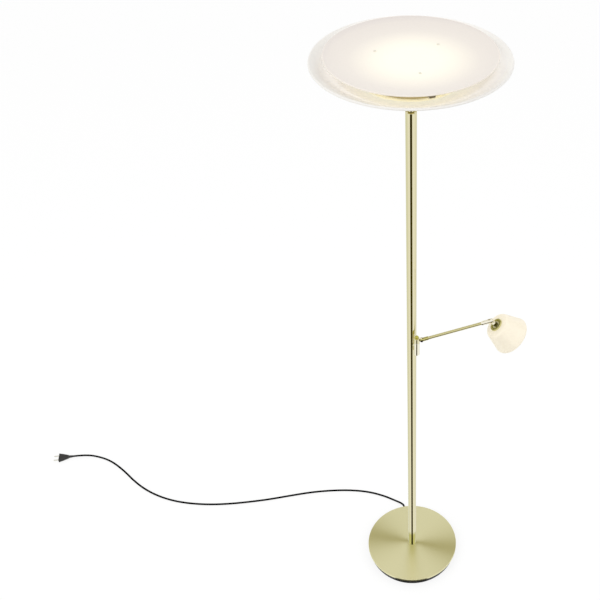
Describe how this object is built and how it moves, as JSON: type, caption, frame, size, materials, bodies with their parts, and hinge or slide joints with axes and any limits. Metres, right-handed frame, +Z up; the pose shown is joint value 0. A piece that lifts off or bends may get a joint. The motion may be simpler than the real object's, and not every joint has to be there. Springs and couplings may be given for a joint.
{
  "type": "floor lamp",
  "caption": "Brass floor lamp with a round weighted base, slim stem, wide opal glass uplighter dish and a small opal reading light on a swivelling, tilting side arm.",
  "frame": {"origin": "on the floor, at the centre of the base's underside, below the stem's axis", "axes": "+Z up along the stem, -Y to the front, +X to the side of the reading light; the cord leaves at the back, towards +Y"},
  "size_m": [1.6268, 0.605, 1.7452],
  "materials": {
    "black_metal": "black satin paint",
    "black_rubber": "matt",
    "zinc_steel": "zinc plated",
    "cast_iron": "painted black",
    "brushed_brass": "brushed, lacquered",
    "polished_brass": "polished, pale",
    "white_plastic": "matt",
    "black_plastic": "matt",
    "cord_sheath": "satin flexible sheath",
    "opal_glass": "satin opal",
    "warm_opal_glass": "satin opal, lit from inside",
    "soft_clear": "clear silicone",
    "white_board": "white circuit board on aluminium",
    "light_chip": "phosphor",
    "aluminium": "turned",
    "dark_steel": "blackened"
  },
  "bodies": {
    "stand": {"floor_pad": "black_rubber", "base_bottom_plate": "black_metal", "base_plate_screws": "zinc_steel", "base_weight": "cast_iron", "base_cover": "brushed_brass", "led_driver": "white_plastic", "inner_screws": "zinc_steel", "terminal_block": "white_plastic", "inlet_lead": "cord_sheath", "cord_clamp": "black_plastic", "strain_relief": "black_plastic", "cord": "cord_sheath", "plug_body": "black_plastic", "plug_pins": "zinc_steel", "stem_stud": "zinc_steel", "stem_washer": "zinc_steel", "stem_nut": "zinc_steel", "stem_foot_insert": "zinc_steel", "stem_tube": "polished_brass", "stem_cable": "white_plastic", "stem_top_bush": "dark_steel", "neck_set_screw": "dark_steel", "neck_tube": "polished_brass", "head_hub": "polished_brass", "dish_gaskets": "soft_clear", "glass_dish": "opal_glass", "led_plate": "brushed_brass", "led_board": "white_board", "led_chips": "light_chip", "board_ring": "brushed_brass", "led_connector": "black_plastic", "head_nut": "polished_brass", "diffuser_standoffs": "aluminium", "diffuser_washers": "soft_clear", "diffuser_disc": "opal_glass", "diffuser_screws": "white_plastic", "arm_boss": "polished_brass", "boss_nut": "zinc_steel", "boss_stud": "zinc_steel", "swivel_barrel": "polished_brass", "swivel_washer": "white_plastic"},
    "swivel": {"swivel_shaft": "zinc_steel", "swivel_retainer": "zinc_steel", "swivel_head": "polished_brass", "swivel_cap": "polished_brass"},
    "arm": {"arm_fork": "polished_brass", "tilt_screw": "dark_steel", "tilt_nut": "polished_brass", "arm_rod": "polished_brass", "arm_cable": "black_plastic", "arm_collar": "polished_brass", "head_pin": "polished_brass"},
    "reading_head": {"head_neck": "polished_brass", "head_cap": "brushed_brass", "head_shade": "warm_opal_glass", "head_nipple": "zinc_steel", "head_heat_sink": "aluminium", "head_led_board": "white_board", "head_led": "light_chip", "head_lens": "warm_opal_glass"}
  },
  "joints": [
    {"name": "arm_swivel", "type": "hinge", "parent": "stand", "child": "swivel", "pos_m": [0.01334, -0.02055, 0.9749], "axis": [0, 0, 1], "range_deg": [-170, 55]},
    {"name": "arm_tilt", "type": "hinge", "parent": "swivel", "child": "arm", "pos_m": [0.0258, -0.01946, 0.9827], "axis": [0.0872, -0.9962, 0], "range_deg": [-60, 40]},
    {"name": "head_tilt", "type": "hinge", "parent": "arm", "child": "reading_head", "pos_m": [0.20268, -0.00398, 1.03462], "axis": [0.0872, -0.9962, 0], "range_deg": [-35, 55]}
  ]
}
